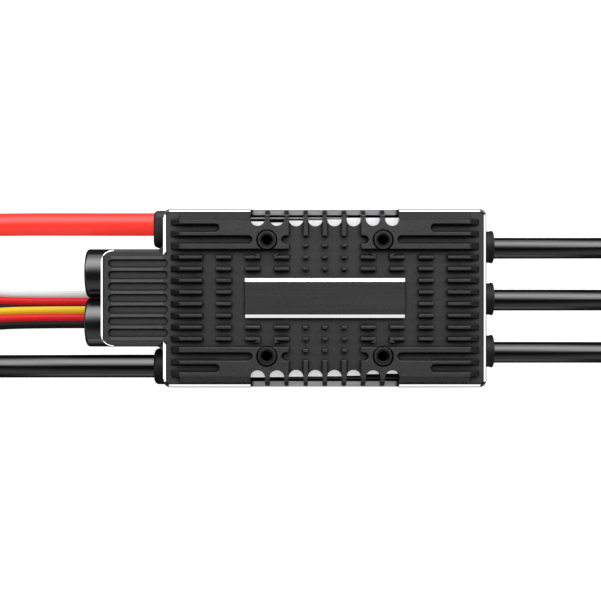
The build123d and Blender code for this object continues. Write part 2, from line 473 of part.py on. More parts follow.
# the two leads' spare length, each folded into a flat hank with a tie and its connector on top
HANK_PROFILE = [
    (-104.0, 2.0), (-103.6, 6.0), (-103.7, 10.5), (-106.0, 13.5), (-110.0, 14.8), (-115.0, 13.9), (-120.0, 10.6), (-125.0, 7.2), (-129.5, 6.1),
    (-154.5, 6.1), (-154.5, 4.1), (-170.0, 4.1), (-174.5, 6.6), (-179.0, 10.6), (-183.5, 12.6), (-188.0, 12.6), (-191.6, 10.3), (-192.8, 6.6),
    (-191.5, 3.0), (-188.5, 0.9), (-184.0, 0.05), (-104.0, 0.05),
]
for name, y in (("throttle", 0.95), ("program", -6.9)):
    hank = prism_xz(HANK_PROFILE, y - LEAD_W / 2, y + LEAD_W / 2)
    parts[name + "_lead_hank"] = hank
    tie = bx(-139, -136, y - LEAD_W / 2 - 0.55, y + LEAD_W / 2 + 0.55, 0.0, 6.8) - bx(-140, -135, y - LEAD_W / 2, y + LEAD_W / 2, -1, 6.1)
    parts[name + "_lead_tie"] = tie + bx(-139.3, -135.7, y - 1.6, y + 1.6, 6.6, 8.4)
    housing = bx(-168.5, -154.5, y - 3.7, y + 3.7, 4.12, 6.74)
    housing = chamfer(housing.edges().filter_by(Axis.X), 0.3)
    contacts = []
    for d in (-2.54, 0, 2.54):
        housing = housing - bx(-170, -158.0, y + d - 0.75, y + d + 0.75, 4.68, 6.18)
        contacts.append(bx(-167.0, -158.0, y + d - 0.6, y + d + 0.6, 4.83, 6.03) - bx(-168, -161.0, y + d - 0.35, y + d + 0.35, 5.08, 5.78))
    parts[name + "_connector"] = housing
    parts[name + "_contacts"] = group(contacts)

os.makedirs("parts", exist_ok=True)
for name, shape in parts.items():
    export_step(shape, "parts/" + name + ".step")
print(len(parts), "nodes")
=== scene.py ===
import math

import bmesh
import bpy
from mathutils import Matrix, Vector


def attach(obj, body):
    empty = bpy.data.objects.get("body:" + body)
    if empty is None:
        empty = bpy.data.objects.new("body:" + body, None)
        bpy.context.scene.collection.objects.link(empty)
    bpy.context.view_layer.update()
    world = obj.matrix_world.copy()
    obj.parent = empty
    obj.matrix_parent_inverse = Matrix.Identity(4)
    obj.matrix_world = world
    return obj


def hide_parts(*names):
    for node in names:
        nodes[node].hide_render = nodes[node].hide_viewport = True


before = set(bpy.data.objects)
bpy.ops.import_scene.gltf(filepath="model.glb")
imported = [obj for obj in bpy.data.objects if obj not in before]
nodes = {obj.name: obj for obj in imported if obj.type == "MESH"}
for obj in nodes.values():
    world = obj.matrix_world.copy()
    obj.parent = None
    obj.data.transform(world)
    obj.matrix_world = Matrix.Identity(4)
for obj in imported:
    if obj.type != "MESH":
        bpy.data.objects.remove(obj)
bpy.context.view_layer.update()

scene = bpy.context.scene


# ---- small helpers --------------------------------------------------------------------------
def link(obj):
    scene.collection.objects.link(obj)
    return obj


def mesh_object(name, verts, faces, smooth=True):
    mesh = bpy.data.meshes.new(name)
    mesh.from_pydata([tuple(v) for v in verts], [], faces)
    mesh.validate()
    mesh.update()
    for p in mesh.polygons:
        p.use_smooth = smooth
    return link(bpy.data.objects.new(name, mesh))


class Nodes:
    """Short-hand for building a node tree."""

    def __init__(self, name):
        self.mat = bpy.data.materials.new(name)
        self.mat.use_nodes = True
        self.tree = self.mat.node_tree
        self.tree.nodes.clear()
        self.out = self.tree.nodes.new("ShaderNodeOutputMaterial")
        self.bsdf = self.tree.nodes.new("ShaderNodeBsdfPrincipled")
        self.tree.links.new(self.bsdf.outputs[0], self.out.inputs[0])

    @classmethod
    def of(cls, mat):
        """The same short-hand for a material that exists."""
        self = cls.__new__(cls)
        self.mat, self.tree = mat, mat.node_tree
        self.bsdf = self.tree.nodes["Principled BSDF"]
        return self

    def add(self, kind, **inputs):
        n = self.tree.nodes.new(kind)
        for key, value in inputs.items():
            if key.startswith("_"):
                setattr(n, key[1:], value)
        for key, value in inputs.items():
            if not key.startswith("_"):
                self.put(n.inputs[key.replace("__", " ")], value)
        return n

    def put(self, socket, value):
        if isinstance(value, bpy.types.NodeSocket):
            self.tree.links.new(value, socket)
        else:
            socket.default_value = value

    def math(self, op, a, b=None, c=None, clamp=False):
        n = self.tree.nodes.new("ShaderNodeMath")
        n.operation = op
        n.use_clamp = clamp
        for i, v in enumerate((a, b, c)):
            if v is not None:
                self.put(n.inputs[i], v)
        return n.outputs[0]

    def between(self, x, lo, hi):
        """1 where lo < x < hi."""
        return self.math("MULTIPLY", self.math("GREATER_THAN", x, lo), self.math("LESS_THAN", x, hi))

    def ramp(self, x, lo, hi, a=0.0, b=1.0):
        n = self.tree.nodes.new("ShaderNodeMapRange")
        self.put(n.inputs["Value"], x)
        for key, v in (("From Min", lo), ("From Max", hi), ("To Min", a), ("To Max", b)):
            self.put(n.inputs[key], v)
        return n.outputs[0]

    def smooth(self, x, lo, hi):
        n = self.tree.nodes.new("ShaderNodeMapRange")
        n.interpolation_type = "SMOOTHSTEP"
        self.put(n.inputs["Value"], x)
        n.inputs["From Min"].default_value = lo
        n.inputs["From Max"].default_value = hi
        return n.outputs[0]

    def mix(self, t, a, b):
        n = self.tree.nodes.new("ShaderNodeMix")
        n.data_type = "RGBA"
        self.put(n.inputs[0], t)
        self.put(n.inputs[6], a)
        self.put(n.inputs[7], b)
        return n.outputs[2]

    def coords(self):
        return self.tree.nodes.new("ShaderNodeTexCoord").outputs["Object"]

    def scaled(self, vec, scale):
        n = self.tree.nodes.new("ShaderNodeMapping")
        self.put(n.inputs["Vector"], vec)
        n.inputs["Scale"].default_value = scale
        return n.outputs[0]

    def split(self, vec):
        n = self.tree.nodes.new("ShaderNodeSeparateXYZ")
        self.put(n.inputs[0], vec)
        return n.outputs

    def noise(self, vec, scale, detail=2.0, rough=0.5):
        n = self.tree.nodes.new("ShaderNodeTexNoise")
        self.put(n.inputs["Vector"], vec)
        n.inputs["Scale"].default_value = scale
        n.inputs["Detail"].default_value = detail
        n.inputs["Roughness"].default_value = rough
        return n.outputs["Fac"]

    def bump(self, height, strength, distance, normal=None):
        n = self.tree.nodes.new("ShaderNodeBump")
        n.inputs["Strength"].default_value = strength
        n.inputs["Distance"].default_value = distance
        self.put(n.inputs["Height"], height)
        if normal is not None:
            self.put(n.inputs["Normal"], normal)
        return n.outputs[0]

    def set(self, **inputs):
        for key, value in inputs.items():
            self.put(self.bsdf.inputs[key.replace("__", " ")], value)
        return self.mat


def rgb(r, g, b):
    """sRGB 0-255 to linear with alpha."""
    out = []
    for v in (r, g, b):
        v /= 255.0
        out.append(v / 12.92 if v <= 0.04045 else ((v + 0.055) / 1.055) ** 2.4)
    return (*out, 1.0)


def plastic(name, colour, other, rough, grain=9000.0, depth=0.00002, strength=0.15, spread=0.12, **more):
    """Moulded plastic, rubber or paint: two near colours in soft patches, fine grain, uneven gloss."""
    n = Nodes(name)
    at = n.coords()
    big = n.noise(at, 120.0, 3.0)
    fine = n.noise(at, grain, 2.0)
    col = n.mix(n.ramp(big, 0.35, 0.65), colour, other)
    edge = n.tree.nodes.new("ShaderNodeBevel")
    edge.samples = 4
    edge.inputs["Radius"].default_value = 0.00018
    n.set(
        Base__Color=col,
        Roughness=n.ramp(n.noise(at, 450.0, 4.0), 0.3, 0.7, rough - spread / 2, rough + spread / 2),
        Normal=n.bump(fine, strength, depth, edge.outputs[0]),
    )
    for key, value in more.items():
        n.put(n.bsdf.inputs[key.replace("__", " ")], value)
    return n.mat


def metal(name, colour, other, rough, scale=(300.0, 300.0, 300.0), depth=0.00001, strength=0.2, spread=0.12, **more):
    """Bare or plated metal: grain stretched by scale, uneven gloss and tint."""
    n = Nodes(name)
    at = n.coords()
    grain = n.noise(n.scaled(at, scale), 10.0, 3.0, 0.6)
    tint = n.noise(at, 160.0, 3.0)
    n.set(
        Base__Color=n.mix(n.ramp(tint, 0.3, 0.7), colour, other),
        Metallic=1.0,
        Roughness=n.ramp(grain, 0.3, 0.7, rough - spread / 2, rough + spread / 2),
        Normal=n.bump(grain, strength, depth),
    )
    for key, value in more.items():
        n.put(n.bsdf.inputs[key.replace("__", " ")], value)
    return n.mat


# ---- camera ---------------------------------------------------------------------------------
cam_data = bpy.data.cameras.new("camera")
cam_data.lens = 79.4
cam_data.sensor_width = 36.0
cam_data.clip_start = 0.01
cam_data.clip_end = 10.0
cam = link(bpy.data.objects.new("camera", cam_data))
cam.location = (-0.0061, -0.0006, 0.3545)
scene.camera = cam

# ---- cables ---------------------------------------------------------------------------------
# the same routes as the CAD source, in metres
ROUTE_POSITIVE = [(-0.0384, 0.01895, 0.013), (-0.058, 0.01895, 0.013), (-0.080, 0.0191, 0.0114), (-0.103, 0.0189, 0.0064), (-0.128, 0.0182, 0.0033), (-0.156, 0.0179, 0.00305), (-0.183, 0.0181, 0.00305)]
ROUTE_NEGATIVE = [(-0.0384, -0.0175, 0.013), (-0.057, -0.0175, 0.013), (-0.079, -0.01765, 0.0112), (-0.101, -0.0179, 0.0062), (-0.127, -0.0182, 0.00325), (-0.155, -0.0185, 0.00305), (-0.182, -0.0183, 0.00305)]
ROUTE_PHASES = {
    "phase_cable_a": [(0.0384, 0.01285, 0.013), (0.054, 0.01285, 0.013), (0.073, 0.01295, 0.0108), (0.092, 0.0133, 0.0059), (0.113, 0.0135, 0.0031), (0.134, 0.0133, 0.0028)],
    "phase_cable_b": [(0.0384, -0.0005, 0.013), (0.055, -0.0005, 0.013), (0.074, -0.0005, 0.0107), (0.093, -0.0006, 0.0058), (0.114, -0.0004, 0.0031), (0.135, -0.0002, 0.0028)],
    "phase_cable_c": [(0.0384, -0.01395, 0.013), (0.0545, -0.01395, 0.013), (0.0735, -0.01405, 0.0108), (0.0925, -0.0144, 0.0058), (0.1135, -0.0147, 0.0031), (0.1345, -0.0145, 0.0028)],
}
ROUTE_THROTTLE = [(-0.0384, -0.00084, 0.0032), (-0.0495, -0.00084, 0.0032), (-0.0625, -0.00084, 0.00175), (-0.0755, -0.0008, 0.00105), (-0.0865, -0.00065, 0.00102), (-0.0955, 0.00055, 0.00102), (-0.1036, 0.00095, 0.00102)]
ROUTE_PROGRAM = [(-0.0384, -0.005, 0.0052), (-0.0495, -0.005, 0.0052), (-0.0625, -0.00502, 0.0039), (-0.0755, -0.0051, 0.00305), (-0.0865, -0.00535, 0.00305), (-0.0955, -0.0066, 0.00275), (-0.1036, -0.0069, 0.00115)]
# the spare length of each lead: three runs beside the floor, one on the other, and a loop at each end
HANK = [
    (-0.118, 0.00100), (-0.138, 0.00100), (-0.158, 0.00100), (-0.176, 0.00100), (-0.1880, 0.00130), (-0.1926, 0.00450), (-0.1922, 0.00950), (-0.1875, 0.01220),
    (-0.1820, 0.01120), (-0.1760, 0.00680), (-0.1690, 0.00340), (-0.158, 0.00307), (-0.143, 0.00307), (-0.128, 0.00307), (-0.120, 0.00340), (-0.1130, 0.00450),
    (-0.1070, 0.00490), (-0.1038, 0.00800), (-0.1045, 0.01250), (-0.1090, 0.01440), (-0.1140, 0.01330), (-0.1190, 0.00980), (-0.1250, 0.00560), (-0.1340, 0.00514),
    (-0.144, 0.00514), (-0.1545, 0.00535),
]
SUPPLY_R, PHASE_R, LEAD_W, LEAD_T = 0.00295, 0.0027, 0.00585, 0.0019


def spline_curve(name, points, bevel=0.0, resolution=12):
    data = bpy.data.curves.new(name, "CURVE")
    data.dimensions = "3D"
    spline = data.splines.new("NURBS")
    spline.points.add(len(points) - 1)
    for p, co in zip(spline.points, points):
        p.co = (*co, 1.0)
    spline.order_u = 3
    spline.use_endpoint_u = True
    data.resolution_u = resolution
    data.bevel_depth = bevel
    data.bevel_resolution = 10
    data.use_fill_caps = bevel > 0
    return link(bpy.data.objects.new(name, data))


def line_of(points, resolution=10):
    """The points that a NURBS spline through these control points passes."""
    guide = spline_curve("guide", points, 0.0, resolution)
    bpy.context.view_layer.update()
    mesh = bpy.data.meshes.new_from_object(guide)
    line = [v.co.copy() for v in mesh.vertices]
    bpy.data.meshes.remove(mesh)
    data = guide.data
    bpy.data.objects.remove(guide)
    bpy.data.curves.remove(data)
    return line


def length_of(line):
    return sum((b - a).length for a, b in zip(line, line[1:]))


def frames_along(line, side=Vector((0, 1, 0))):
    """At each point: tangent, sideways and up, with sideways kept near the given direction."""
    out = []
    for i, p in enumerate(line):
        t = (line[min(i + 1, len(line) - 1)] - line[max(i - 1, 0)]).normalized()
        s = (side - t * side.dot(t)).normalized()
        out.append((p, t, s, t.cross(s)))
    return out


# ---- stage, light and view ------------------------------------------------------------------
scene.view_settings.view_transform = "Standard"
scene.view_settings.look = "None"
scene.view_settings.exposure = 0.0
scene.view_settings.gamma = 1.0

world = bpy.data.worlds.new("world")
world.use_nodes = True
scene.world = world


def studio(tree):
    """A studio as seen from the object, by direction: one large softbox on the +Y side from near the zenith to the
    horizon, a dim fill on the -Y side, and four narrow bright panels at the horizon, one facing each side."""
    tree.nodes.clear()
    out = tree.nodes.new("ShaderNodeOutputWorld")
    sky = tree.nodes.new("ShaderNodeBackground")
    tree.links.new(sky.outputs[0], out.inputs[0])
    coord = tree.nodes.new("ShaderNodeTexCoord")
    split = tree.nodes.new("ShaderNodeSeparateXYZ")
    tree.links.new(coord.outputs["Generated"], split.inputs[0])
    x, y, z = split.outputs

    def op(kind, a, b=None):
        n = tree.nodes.new("ShaderNodeMath")
        n.operation = kind
        for i, v in enumerate((a, b)):
            if v is None:
                continue
            if isinstance(v, bpy.types.NodeSocket):
                tree.links.new(v, n.inputs[i])
            else:
                n.inputs[i].default_value = v
        return n.outputs[0]

    def rise(v, lo, hi):
        n = tree.nodes.new("ShaderNodeMapRange")
        n.interpolation_type = "SMOOTHSTEP"
        tree.links.new(v, n.inputs["Value"])
        n.inputs["From Min"].default_value = lo
        n.inputs["From Max"].default_value = hi
        return n.outputs[0]

    def fall(v, lo, hi):
        return op("SUBTRACT", 1.0, rise(v, lo, hi))

    def times(*factors):
        out = factors[0]
        for f in factors[1:]:
            out = op("MULTIPLY", out, f)
        return out

    down = op("DEGREES", op("ARCCOSINE", z))  # angle from the zenith
    turn = op("DEGREES", op("ARCTAN2", op("ABSOLUTE", x), y))  # 0 at +Y, 90 at either X, 180 at -Y
    panels = [
        times(rise(down, KEY[0], KEY[1]), fall(down, 55.0, 100.0), fall(turn, KEY[2], KEY[3]), KEY[4]),
        times(rise(down, 85.0, 90.0), fall(down, 97.0, 101.0), fall(turn, 14.0, 18.0), HIGH_Y),
        times(rise(down, FILL[0], FILL[1]), fall(down, 70.0, 96.0), rise(turn, FILL[2], FILL[3]), FILL[4]),
        times(rise(down, 84.0, 88.0), fall(down, 96.0, 100.0), rise(turn, 160.0, 166.0), LOW_Y),
        times(rise(down, 96.0, 100.0), fall(down, 112.0, 120.0), rise(turn, 160.0, 166.0), 0.4 * LOW_Y),
        times(rise(down, 89.0, 92.0), fall(down, 104.0, 108.0), rise(turn, 72.0, 76.0), fall(turn, 104.0, 108.0), SIDE_X),
    ]
    total = AMBIENT
    for p in panels:
        total = op("ADD", p, total)
    tree.links.new(total, sky.inputs["Strength"])
    sky.inputs["Color"].default_value = (1.0, 1.0, 1.0, 1.0)


KEY = (8.0, 50.0, 60.0, 75.0, 5.3)
FILL = (22.0, 60.0, 105.0, 125.0, 0.55)
LOW_Y, HIGH_Y, SIDE_X, AMBIENT = 1.2, 1.2, 1.25, 0.03
studio(world.node_tree)


def stage_material(name, glow, diffuse):
    n = Nodes(name)
    at = n.coords()
    n.set(
        Base__Color=n.mix(n.noise(at, 3.0), (diffuse, diffuse, diffuse, 1.0), (diffuse * 0.99, diffuse * 0.99, diffuse * 0.99, 1.0)),
        Roughness=0.9,
        Emission__Color=(1.0, 1.0, 1.0, 1.0),
        Emission__Strength=glow,
    )
    return n.mat


R_FLOOR = 3.0
floor = mesh_object(
    "floor",
    [(R_FLOOR * math.cos(a), R_FLOOR * math.sin(a), -0.00002) for a in (2 * math.pi * k / 64 for k in range(64))],
    [list(range(64))],
    smooth=False,
)
floor.data.materials.append(stage_material("floor", 0.93, 0.35))
floor.visible_glossy = False
dome_verts, dome_faces = [], []
for j in range(9):
    el = math.radians(-5 + 95 * j / 8)
    for k in range(32):
        a = 2 * math.pi * k / 32
        dome_verts.append((4 * math.cos(el) * math.cos(a), 4 * math.cos(el) * math.sin(a), 4 * math.sin(el)))
for j in range(8):
    for k in range(32):
        q = [j * 32 + k, j * 32 + (k + 1) % 32, (j + 1) * 32 + (k + 1) % 32, (j + 1) * 32 + k]
        dome_faces.append(q)
dome = mesh_object("backdrop", dome_verts, dome_faces)
dome.data.materials.append(stage_material("backdrop", 1.0, 0.0))
for what in ("visible_diffuse", "visible_glossy", "visible_transmission", "visible_volume_scatter", "visible_shadow"):
    setattr(dome, what, False)


# light from straight above that matt surfaces show and polished ones don't
top_data = bpy.data.lights.new("top_light", "AREA")
top_data.shape = "DISK"
top_data.size = 0.35
top_data.energy = 3.6
top_light = link(bpy.data.objects.new("top_light", top_data))
top_light.location = (0.0, 0.0, 1.2)
top_light.visible_camera = False
top_light.visible_glossy = False

# ---- materials ------------------------------------------------------------------------------
MATS = {}


def painted_corner_shade(n, distance, dark, samples=6):
    """Painted shade: a colour factor that falls to dark in the inner corners, where shade falls."""
    ao = n.tree.nodes.new("ShaderNodeAmbientOcclusion")
    ao.samples = samples
    ao.inputs["Distance"].default_value = distance
    return n.ramp(ao.outputs["AO"], 0.45, 0.95, dark, 1.0)


def shade(n, colour, factor):
    mix = n.tree.nodes.new("ShaderNodeVectorMath")
    mix.operation = "SCALE"
    n.put(mix.inputs[0], colour)
    n.put(mix.inputs["Scale"], factor)
    return mix.outputs[0]


def anodised(name, upper):
    """Dark grey blasted and anodised aluminium, with painted shade in its inner corners. On the upper case the rim's
    chamfers are cut bright afterwards, and the floors of the side openings are left as bare brushed metal; there,
    painted shade and painted highlights darken or lighten several faces, and some edges glow."""
    n = Nodes(name)
    at = n.coords()
    x, y, z = n.split(at)
    geo = n.tree.nodes.new("ShaderNodeNewGeometry")
    nx, ny, nz = n.split(geo.outputs["True Normal"])
    fine = n.noise(at, 5200.0, 2.0, 0.6)
    mid = n.noise(at, 1300.0, 3.0, 0.6)
    big = n.noise(at, 90.0, 3.0, 0.5)
    base = n.mix(n.ramp(big, 0.3, 0.7), (0.060, 0.060, 0.061, 1.0), (0.068, 0.068, 0.069, 1.0))
    base = n.mix(n.ramp(fine, 0.40, 0.75, 0.0, 0.5), base, (0.128, 0.128, 0.132, 1.0))
    base = n.mix(n.ramp(mid, 0.55, 0.8, 0.0, 0.35), base, (0.034, 0.034, 0.034, 1.0))
    rough = n.ramp(mid, 0.3, 0.7, 0.40, 0.50)
    # the upright walls have a duller skin than the blasted deck
    skin = n.mix(n.ramp(mid, 0.3, 0.7), (0.074, 0.074, 0.076, 1.0), (0.088, 0.088, 0.090, 1.0))
    if not upper:
        # painted shade in the inner corners of the lower case
        skin = shade(n, skin, painted_corner_shade(n, 0.0012, 0.2))
        n.set(Base__Color=skin, Metallic=0.35, Roughness=rough, Normal=n.bump(fine, 0.35, 0.00003))
        return n.mat
    ax, ay = n.math("ABSOLUTE", x), n.math("ABSOLUTE", y)
    flat = n.math("GREATER_THAN", nz, 0.9)

    def both(*terms):
        out = terms[0]
        for t in terms[1:]:
            out = n.math("MULTIPLY", out, t)
        return out

    def dim(mask, factor):
        """Colour factor that is 1 outside the mask."""
        return n.ramp(mask, 0.0, 1.0, 1.0, factor)

    def below(v, limit):
        return n.math("LESS_THAN", v, limit)

    def above(v, limit):
        return n.math("GREATER_THAN", v, limit)

    # distance from the centre of the case's corner curve; the same on the straight sides
    cx = n.math("MAXIMUM", n.math("SUBTRACT", ax, 0.0388), 0.0)
    cy = n.math("MAXIMUM", n.math("SUBTRACT", ay, 0.0206), 0.0)
    reach = n.math("SQRT", n.math("ADD", n.math("MULTIPLY", cx, cx), n.math("MULTIPLY", cy, cy)))
    by_hood = both(below(x, -0.0390), below(ay, 0.0108))
    # painted shade: a dark line round the rim top, just inside the chamfer, away from the hood
    line = both(n.between(reach, 0.00082, 0.00108), flat, n.between(z, 0.0222, 0.0224), n.math("SUBTRACT", 1.0, by_hood))
    # painted shade: the sloped ends of the fins and decks are darker
    shaded_slopes = both(n.between(n.math("ABSOLUTE", nx), 0.5, 0.85), above(z, 0.02235), above(ax, 0.0355))
    # painted shade: the plateaus' outward chamfers are darker
    shaded_rims = both(n.between(nz, 0.62, 0.80), above(z, 0.0243), above(ay, 0.0192))
    # painted shade: the +Y-facing faces along the plateau's outer edge are darker
    outer = both(above(ny, 0.12), n.between(y, 0.0191, 0.0197), above(z, 0.02235))
    # painted highlight: the lands between the hood's recesses are painted lighter, as they catch more light
    wave = n.math("ABSOLUTE", n.math("SUBTRACT", n.math("FRACT", n.math("ADD", n.math("DIVIDE", y, 0.0029), 10.0)), 0.5))
    lands = both(below(wave, 0.11), n.between(x, -0.0536, -0.0405), below(ay, 0.0105), flat)
    # painted shade in the inner corners of the deck
    base = shade(n, base, painted_corner_shade(n, 0.0007, 0.15))
    # painted shade: the narrow ring floors round the fan inserts are near black
    ring = both(n.between(z, 0.02372, 0.02388), flat, above(ax, 0.011), above(ay, 0.011))
    base = shade(n, base, both(dim(line, 0.12), dim(shaded_slopes, 0.42), dim(shaded_rims, 0.12), dim(outer, 0.2), dim(lands, 1.8), dim(ring, 0.05)))
    # the 0.75 mm chamfer round the rim and the 1 mm one along the end of the hood
    tilt = n.between(nz, 0.62, 0.80)
    at_boots = both(below(x, 0.0), below(ay, 0.0203))
    lowest = n.math("SUBTRACT", 0.02176, n.math("MULTIPLY", at_boots, 0.00026))
    case_edge = both(above(z, lowest), below(z, 0.02232), n.math("MAXIMUM", n.between(ax, 0.03975, 0.0412), above(ay, 0.0216)))
    turn = n.math("ABSOLUTE", ny)
    strip = both(n.between(z, 0.02125, 0.02187), below(turn, 0.08))
    arc = both(n.between(z, 0.02186, 0.02214), above(turn, 0.08))
    hood_edge = both(n.math("MAXIMUM", strip, arc), below(x, -0.0530))
    # painted shade: the rest of the chamfer at the end of the hood is darker
    shaded_hood_lip = both(n.between(z, 0.02125, 0.02232), below(x, -0.0530), tilt, n.math("SUBTRACT", 1.0, hood_edge))
    base = shade(n, base, dim(shaded_hood_lip, 0.4))
    edge = both(n.math("MAXIMUM", case_edge, hood_edge), tilt)
    # painted highlight: the parts of the bright edge that turn away from the panels, the hood's corners and the ends
    # beside the hood, are made to glow white
    glowing_edges = n.math("MAXIMUM", both(hood_edge, above(n.math("ABSOLUTE", ny), 0.08)), both(n.between(x, -0.0412, -0.0397), below(ay, 0.0128)))
    glowing_edges = both(glowing_edges, edge)
    # openings: the top of the side wall under them, with painted shadow at the two ends of the row, and painted lighter
    # on the -Y side
    sill = both(n.between(z, 0.01925, 0.01935), flat, above(ay, 0.0208))
    brushed = n.noise(n.scaled(at, (160.0, 2400.0, 60.0)), 1.0, 3.0, 0.6)
    bare = n.mix(n.ramp(brushed, 0.25, 0.75), (0.15, 0.15, 0.155, 1.0), (0.24, 0.24, 0.245, 1.0))
    # painted shadow at the row's ends and painted light on the -Y side
    bare = shade(n, bare, n.math("MULTIPLY", n.ramp(ax, 0.0177, 0.0183, 1.0, 0.04), n.math("ADD", 1.0, n.math("MULTIPLY", below(y, 0.0), 1.3))))
    keep = n.math("SUBTRACT", 1.0, edge)
    wall = both(below(n.math("ABSOLUTE", nz), 0.25), below(z, 0.0222), n.math("MAXIMUM", n.math("MAXIMUM", above(ax, 0.0404), above(ay, 0.0222)), both(below(x, -0.0402), below(z, 0.0221))))
    # painted shade in the inner corners of the walls
    base = n.mix(wall, base, shade(n, skin, painted_corner_shade(n, 0.0012, 0.2)))
    n.set(
        Base__Color=n.mix(edge, n.mix(sill, base, bare), (0.95, 0.95, 0.96, 1.0)),
        Metallic=n.math("SUBTRACT", 1.0, n.math("MAXIMUM", n.math("MAXIMUM", n.math("MULTIPLY", sill, 0.75), n.math("MULTIPLY", wall, 0.65)), glowing_edges)),
        Roughness=n.math("ADD", n.math("MULTIPLY", keep, rough), n.math("MULTIPLY", edge, 0.06)),
        Normal=n.bump(n.math("MULTIPLY", fine, keep), 0.35, 0.00003),
        Emission__Color=(1.0, 1.0, 1.0, 1.0),
        Emission__Strength=n.math("MULTIPLY", glowing_edges, 0.55),
    )
    return n.mat


MATS["upper_housing"] = anodised("anodised_upper", True)
MATS["lower_housing"] = anodised("anodised_lower", False)


def name_plate():
    n = Nodes("name_plate")
    at = n.coords()
    geo = n.tree.nodes.new("ShaderNodeNewGeometry")
    nz = n.split(geo.outputs["True Normal"])[2]
    brushed = n.noise(n.scaled(at, (40.0, 2600.0, 40.0)), 1.0, 3.0, 0.6)
    fine = n.noise(at, 5200.0, 2.0, 0.6)
    edge = n.between(nz, 0.5, 0.97)
    face = n.mix(n.ramp(brushed, 0.3, 0.7), (0.058, 0.058, 0.059, 1.0), (0.070, 0.070, 0.071, 1.0))
    face = n.mix(n.ramp(fine, 0.40, 0.75, 0.0, 0.4), face, (0.125, 0.125, 0.129, 1.0))
    keep = n.math("SUBTRACT", 1.0, edge)
    ny = n.split(geo.outputs["True Normal"])[1]
    n.set(
        Base__Color=n.mix(edge, face, (0.95, 0.95, 0.96, 1.0)),
        Metallic=1.0,
        # painted highlight: the chamfer facing -Y glows
        Emission__Color=(1.0, 1.0, 1.0, 1.0),
        Emission__Strength=n.math("MULTIPLY", n.math("MULTIPLY", edge, n.math("LESS_THAN", ny, -0.2)), 0.3),
        Roughness=n.math("ADD", n.math("MULTIPLY", keep, n.ramp(brushed, 0.3, 0.7, 0.38, 0.46)), n.math("MULTIPLY", edge, 0.08)),
        Normal=n.bump(n.math("MULTIPLY", fine, keep), 0.3, 0.00002),
    )
    return n.mat


def spreader():
    """Milled bare aluminium, bright and slightly frosted. Painted shade: near black in the grooves, and the strip
    beyond them grey on the +Y side and near black on the -Y side; painted highlight: the plain metal on the -Y side
    glows.
    """
    n = Nodes("bare_aluminium")
    at = n.coords()
    x, y, z = n.split(at)
    brushed = n.noise(n.scaled(at, (1500.0, 60.0, 60.0)), 1.0, 3.0, 0.6)
    colour = n.mix(n.ramp(brushed, 0.25, 0.75), (0.80, 0.80, 0.81, 1.0), (0.92, 0.92, 0.93, 1.0))
    # painted light and shade: the strip beyond the grooves is grey on the +Y side, towards the softbox, and near black
    # on the -Y side
    lit_strip_up = n.math("MULTIPLY", n.math("GREATER_THAN", y, 0.0200), n.math("LESS_THAN", x, 0.0047))
    shaded_strip_down = n.math("LESS_THAN", y, -0.0200)
    colour = n.mix(lit_strip_up, colour, (0.22, 0.22, 0.225, 1.0))
    colour = n.mix(shaded_strip_down, colour, (0.035, 0.035, 0.036, 1.0))
    # painted shade: near black in the grooves below the sill
    shaded_deep = n.math("MULTIPLY", n.math("LESS_THAN", z, 0.01925), n.math("GREATER_THAN", n.math("ABSOLUTE", y), 0.0188))
    colour = n.mix(shaded_deep, colour, (0.006, 0.006, 0.006, 1.0))
    plain = n.math("SUBTRACT", 1.0, n.math("MAXIMUM", shaded_deep, n.math("MAXIMUM", lit_strip_up, shaded_strip_down)))
    n.set(
        Base__Color=colour,
        Metallic=0.15,
        Roughness=n.ramp(brushed, 0.3, 0.7, 0.35, 0.5),
        Normal=n.bump(brushed, 0.2, 0.00002),
        # painted highlight: the plain metal on the -Y side glows
        Emission__Color=(1.0, 1.0, 1.0, 1.0),
        Emission__Strength=n.math("MULTIPLY", n.math("MULTIPLY", plain, n.math("LESS_THAN", y, -0.0175)), n.ramp(brushed, 0.3, 0.7, 0.32, 0.42)),
    )
    return n.mat


MATS["name_plate"] = name_plate()


def insert_metal():
    """Dark turned metal, with painted light and shade: lighter round the outside and darker round the thread, as on a
    countersink, and painted black in the gap beside it, where shade falls.
    """
    mat = metal("insert_dark_metal", (0.055, 0.055, 0.057, 1), (0.07, 0.07, 0.072, 1), 0.38)
    n = Nodes.of(mat)
    x, y, z = n.split(n.coords())
    dx = n.math("SUBTRACT", n.math("ABSOLUTE", x), 0.0145)
    dy = n.math("SUBTRACT", n.math("ABSOLUTE", y), 0.0145)
    r = n.math("SQRT", n.math("ADD", n.math("MULTIPLY", dx, dx), n.math("MULTIPLY", dy, dy)))
    # painted highlight and shade of a countersink, by distance from the insert's centre
    countersink_shade = n.math("ADD", 0.42, n.math("MULTIPLY", n.smooth(r, 0.00165, 0.0019), 0.75))
    # painted shade: black low in the gap
    shaded_deep = n.math("LESS_THAN", z, 0.02385)
    factor = n.math("MULTIPLY", countersink_shade, n.math("SUBTRACT", 1.0, n.math("MULTIPLY", shaded_deep, 0.95)))
    colour = n.bsdf.inputs["Base Color"].links[0].from_socket
    n.put(n.bsdf.inputs["Base Color"], shade(n, colour, factor))
    return mat


